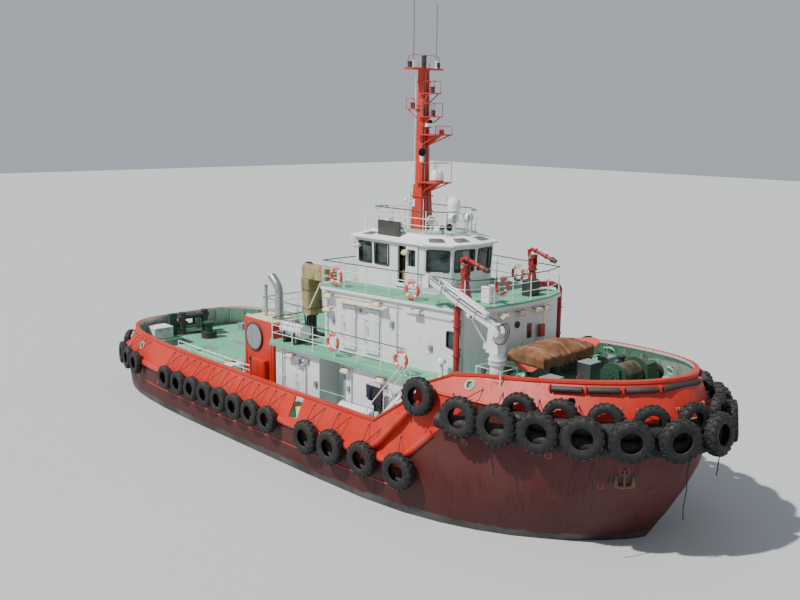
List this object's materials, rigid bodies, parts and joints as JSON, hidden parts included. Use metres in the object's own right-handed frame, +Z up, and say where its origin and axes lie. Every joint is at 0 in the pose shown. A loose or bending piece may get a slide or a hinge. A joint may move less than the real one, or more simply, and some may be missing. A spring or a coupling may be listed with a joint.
{
  "type": "tugboat",
  "caption": "Harbour tug with raised bow, tyre fenders, wheelhouse, mast, fire monitors, deck crane, towing winch and azimuth thrusters.",
  "frame": {"origin": "on the waterline amidships, on the centreline", "axes": "+X towards the bow, +Y to port, +Z up"},
  "size_m": [33.7979, 11.4892, 23.75],
  "materials": {
    "hull_orange": "orange-red paint with rust at the welds and edges",
    "house_white": "white paint with rust streaks",
    "deck_green": "pale green deck paint",
    "monitor_red": "dark red paint",
    "winch_green": "dark green paint",
    "bronze": "polished propeller bronze",
    "steel_bare": "bare or silver painted steel",
    "steel_dark": "black paint",
    "tyre_black": "worn black rubber",
    "canvas_tan": "tan canvas",
    "cover_orange": "orange-brown cover",
    "glass_dark": "tinted glass",
    "dash_grey": "dark grey console",
    "rope": "worn mooring rope"
  },
  "bodies": {
    "vessel": {"hull": "hull_orange", "bulwark_aft": "hull_orange", "bulwark_fore": "hull_orange", "fender_side_starboard": "tyre_black", "fender_side_port": "tyre_black", "fender_stern": "tyre_black", "fender_bow": "tyre_black", "deckhouse_lower": "house_white", "boat_deck": "deck_green", "alcove_tank": "steel_bare", "deckhouse_upper": "house_white", "bridge_deck": "deck_green", "wheelhouse": "house_white", "wheelhouse_glazing": "glass_dark", "wheelhouse_roof": "house_white", "helm_station": "dash_grey", "mast": "hull_orange", "railing_boat_deck": "house_white", "railing_bridge_deck": "house_white", "railing_top_deck": "house_white", "crane_pedestal": "house_white", "winch_frame": "winch_green", "towing_posts": "steel_dark", "rescue_boat": "cover_orange", "rescue_boat_cover": "cover_orange", "liferaft_starboard": "house_white", "liferaft_port": "house_white", "aft_crane_post": "steel_dark", "aft_crane_cover": "canvas_tan", "rope_coil": "rope", "casing_starboard": "hull_orange", "exhaust_starboard": "steel_bare", "monitor_starboard_pedestal": "monitor_red", "ladder_starboard": "house_white", "casing_port": "hull_orange", "exhaust_port": "steel_bare", "monitor_port_pedestal": "monitor_red", "ladder_port": "house_white"},
    "door_lower_starboard": {"door_lower_starboard": "house_white"},
    "door_lower_port": {"door_lower_port": "house_white"},
    "door_upper_aft_starboard": {"door_upper_aft_starboard": "house_white"},
    "door_upper_fore_starboard": {"door_upper_fore_starboard": "house_white"},
    "door_upper_port": {"door_upper_port": "house_white"},
    "door_wheelhouse_starboard": {"door_wheelhouse_starboard": "house_white"},
    "door_wheelhouse_port": {"door_wheelhouse_port": "house_white"},
    "monitor_starboard_head": {"monitor_starboard_head": "monitor_red"},
    "monitor_starboard_barrel": {"monitor_starboard_barrel": "monitor_red"},
    "thruster_starboard": {"thruster_starboard": "steel_dark"},
    "propeller_starboard": {"propeller_starboard": "bronze"},
    "monitor_port_head": {"monitor_port_head": "monitor_red"},
    "monitor_port_barrel": {"monitor_port_barrel": "monitor_red"},
    "thruster_port": {"thruster_port": "steel_dark"},
    "propeller_port": {"propeller_port": "bronze"},
    "radar_scanner": {"radar_scanner": "house_white"},
    "crane_column": {"crane_column": "house_white"},
    "crane_boom": {"crane_boom": "house_white"},
    "crane_cylinder": {"crane_cylinder": "steel_bare"},
    "crane_rod": {"crane_rod": "steel_bare"},
    "winch_drum": {"winch_drum": "winch_green"},
    "capstan_head": {"capstan_head": "winch_green"}
  },
  "joints": [
    {"name": "door_lower_starboard_swing", "type": "hinge", "parent": "vessel", "child": "door_lower_starboard", "pos_m": [0.58126, -4.09167, 3.05], "axis": [0, 0, 1], "range_deg": [0, 150]},
    {"name": "door_lower_port_swing", "type": "hinge", "parent": "vessel", "child": "door_lower_port", "pos_m": [0.58126, 4.09167, 3.05], "axis": [0, 0, 1], "range_deg": [-150, 0]},
    {"name": "door_upper_aft_starboard_swing", "type": "hinge", "parent": "vessel", "child": "door_upper_aft_starboard", "pos_m": [2.72179, -3.24702, 5.75], "axis": [0, 0, 1], "range_deg": [0, 150]},
    {"name": "door_upper_fore_starboard_swing", "type": "hinge", "parent": "vessel", "child": "door_upper_fore_starboard", "pos_m": [3.98179, -3.11531, 5.75], "axis": [0, 0, 1], "range_deg": [0, 150]},
    {"name": "door_upper_port_swing", "type": "hinge", "parent": "vessel", "child": "door_upper_port", "pos_m": [3.35179, 3.18116, 5.75], "axis": [0, 0, 1], "range_deg": [-150, 0]},
    {"name": "door_wheelhouse_starboard_slide", "type": "slide", "parent": "vessel", "child": "door_wheelhouse_starboard", "axis": [1, 0, 0], "range_m": [-0.6, 0]},
    {"name": "door_wheelhouse_port_slide", "type": "slide", "parent": "vessel", "child": "door_wheelhouse_port", "axis": [1, 0, 0], "range_m": [0, 0.6]},
    {"name": "monitor_starboard_slew", "type": "hinge", "parent": "vessel", "child": "monitor_starboard_head", "pos_m": [7.3, -1.9, 8.25], "axis": [0, 0, 1], "range_deg": [-60, 60]},
    {"name": "monitor_starboard_tilt", "type": "hinge", "parent": "monitor_starboard_head", "child": "monitor_starboard_barrel", "pos_m": [7.3, -1.9, 8.65], "axis": [0, -1, 0], "range_deg": [-10, 60]},
    {"name": "thruster_starboard_steer", "type": "hinge", "parent": "vessel", "child": "thruster_starboard", "pos_m": [-11.5, -2.3, -3.76], "axis": [0, 0, 1], "continuous": true},
    {"name": "propeller_starboard_spin", "type": "hinge", "parent": "thruster_starboard", "child": "propeller_starboard", "pos_m": [-11.5, -2.3, -3.76], "axis": [1, 0, 0], "continuous": true},
    {"name": "monitor_port_slew", "type": "hinge", "parent": "vessel", "child": "monitor_port_head", "pos_m": [7.3, 1.9, 8.25], "axis": [0, 0, 1], "range_deg": [-60, 60]},
    {"name": "monitor_port_tilt", "type": "hinge", "parent": "monitor_port_head", "child": "monitor_port_barrel", "pos_m": [7.3, 1.9, 8.65], "axis": [0, -1, 0], "range_deg": [-10, 60]},
    {"name": "thruster_port_steer", "type": "hinge", "parent": "vessel", "child": "thruster_port", "pos_m": [-11.5, 2.3, -3.76], "axis": [0, 0, 1], "continuous": true},
    {"name": "propeller_port_spin", "type": "hinge", "parent": "thruster_port", "child": "propeller_port", "pos_m": [-11.5, 2.3, -3.76], "axis": [1, 0, 0], "continuous": true},
    {"name": "radar_spin", "type": "hinge", "parent": "vessel", "child": "radar_scanner", "pos_m": [4.05, 0, 13.6], "axis": [0, 0, 1], "continuous": true},
    {"name": "crane_slew", "type": "hinge", "parent": "vessel", "child": "crane_column", "pos_m": [10.15, -3.3, 5.9], "axis": [0, 0, 1], "range_deg": [0, 200]},
    {"name": "crane_luff", "type": "hinge", "parent": "crane_column", "child": "crane_boom", "pos_m": [10, -3.3, 7.05], "axis": [0, 1, 0], "range_deg": [-10, 10]},
    {"name": "crane_cylinder_turn", "type": "hinge", "parent": "crane_column", "child": "crane_cylinder", "pos_m": [9.72, -3.3, 6.35], "axis": [0, 1, 0], "range_deg": [-12, 12]},
    {"name": "crane_rod_slide", "type": "slide", "parent": "crane_cylinder", "child": "crane_rod", "axis": [-0.6816, 0, 0.7317], "range_m": [-0.2, 0.2]},
    {"name": "winch_drum_spin", "type": "hinge", "parent": "vessel", "child": "winch_drum", "pos_m": [13, 0, 5.45], "axis": [0, 1, 0], "continuous": true},
    {"name": "capstan_spin", "type": "hinge", "parent": "vessel", "child": "capstan_head", "pos_m": [-13.6, 0, 2.5], "axis": [0, 0, 1], "continuous": true}
  ],
  "couplings": [
    {"joint": "crane_cylinder_turn", "follows": "crane_luff", "ratio": 0.7389},
    {"joint": "crane_rod_slide", "follows": "crane_luff", "m_per_rad": 0.661}
  ]
}
